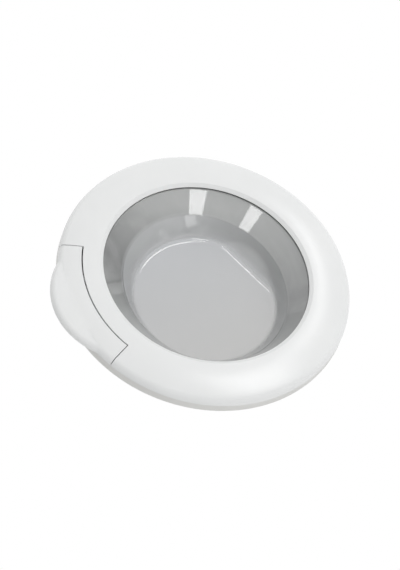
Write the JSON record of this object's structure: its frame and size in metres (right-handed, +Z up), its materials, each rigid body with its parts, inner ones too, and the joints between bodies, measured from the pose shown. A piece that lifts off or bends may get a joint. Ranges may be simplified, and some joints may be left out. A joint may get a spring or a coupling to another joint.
{
  "type": "washing machine door",
  "caption": "Round door for a front-loading washing machine: a deep glass bowl in a plastic ring, with a rocking handle that works the latch hook, and a side hinge.",
  "frame": {"origin": "centre of the hinge plate's bolt pattern, on the plate's back face", "axes": "+Z up along the hinge pin, +Y towards the cabinet, +X from the door's middle to its hinge"},
  "size_m": [0.4668, 0.074, 0.4486],
  "materials": {
    "white_plastic": "gloss, moulded",
    "grey_plastic": "satin, moulded",
    "bowl_glass": "polished, pressed",
    "seal_rubber": "matt",
    "steel": "zinc plated",
    "spring_steel": "bright drawn",
    "cast_zinc": "die cast, satin",
    "bracket_plastic": "moulded",
    "bush_plastic": "moulded"
  },
  "bodies": {
    "base": {"hinge_base": "cast_zinc", "hinge_pin": "steel", "hinge_clip": "spring_steel"},
    "door": {"front_frame": "white_plastic", "rear_frame": "grey_plastic", "glass_bowl": "bowl_glass", "glass_seal": "seal_rubber", "frame_screws": "steel", "handle_rod": "steel", "rod_clips": "spring_steel", "handle_spring": "spring_steel", "latch_bracket": "bracket_plastic", "latch_screws": "steel", "hook_guide": "steel", "hook_pin": "steel", "hook_pin_clip": "spring_steel", "hook_spring": "spring_steel", "hinge_leaf": "cast_zinc", "leaf_screws": "steel", "hinge_bush_upper": "bush_plastic", "hinge_bush_lower": "bush_plastic"},
    "handle": {"handle": "white_plastic"},
    "hook": {"hook": "cast_zinc"}
  },
  "joints": [
    {"name": "door_swing", "type": "hinge", "parent": "base", "child": "door", "pos_m": [0.023, -0.022, 0], "axis": [0, 0, 1], "range_deg": [0, 110]},
    {"name": "handle_lift", "type": "hinge", "parent": "door", "child": "handle", "pos_m": [-0.367, -0.028, 0], "axis": [0, 0, 1], "range_deg": [0, 9], "stiffness_Nm_per_rad": 0.6},
    {"name": "hook_turn", "type": "hinge", "parent": "door", "child": "hook", "pos_m": [-0.375, -0.0175, 0], "axis": [0, 0, 1], "range_deg": [-9, 0], "stiffness_Nm_per_rad": 0.2}
  ],
  "couplings": [
    {"joint": "hook_turn", "follows": "handle_lift", "ratio": -1}
  ]
}
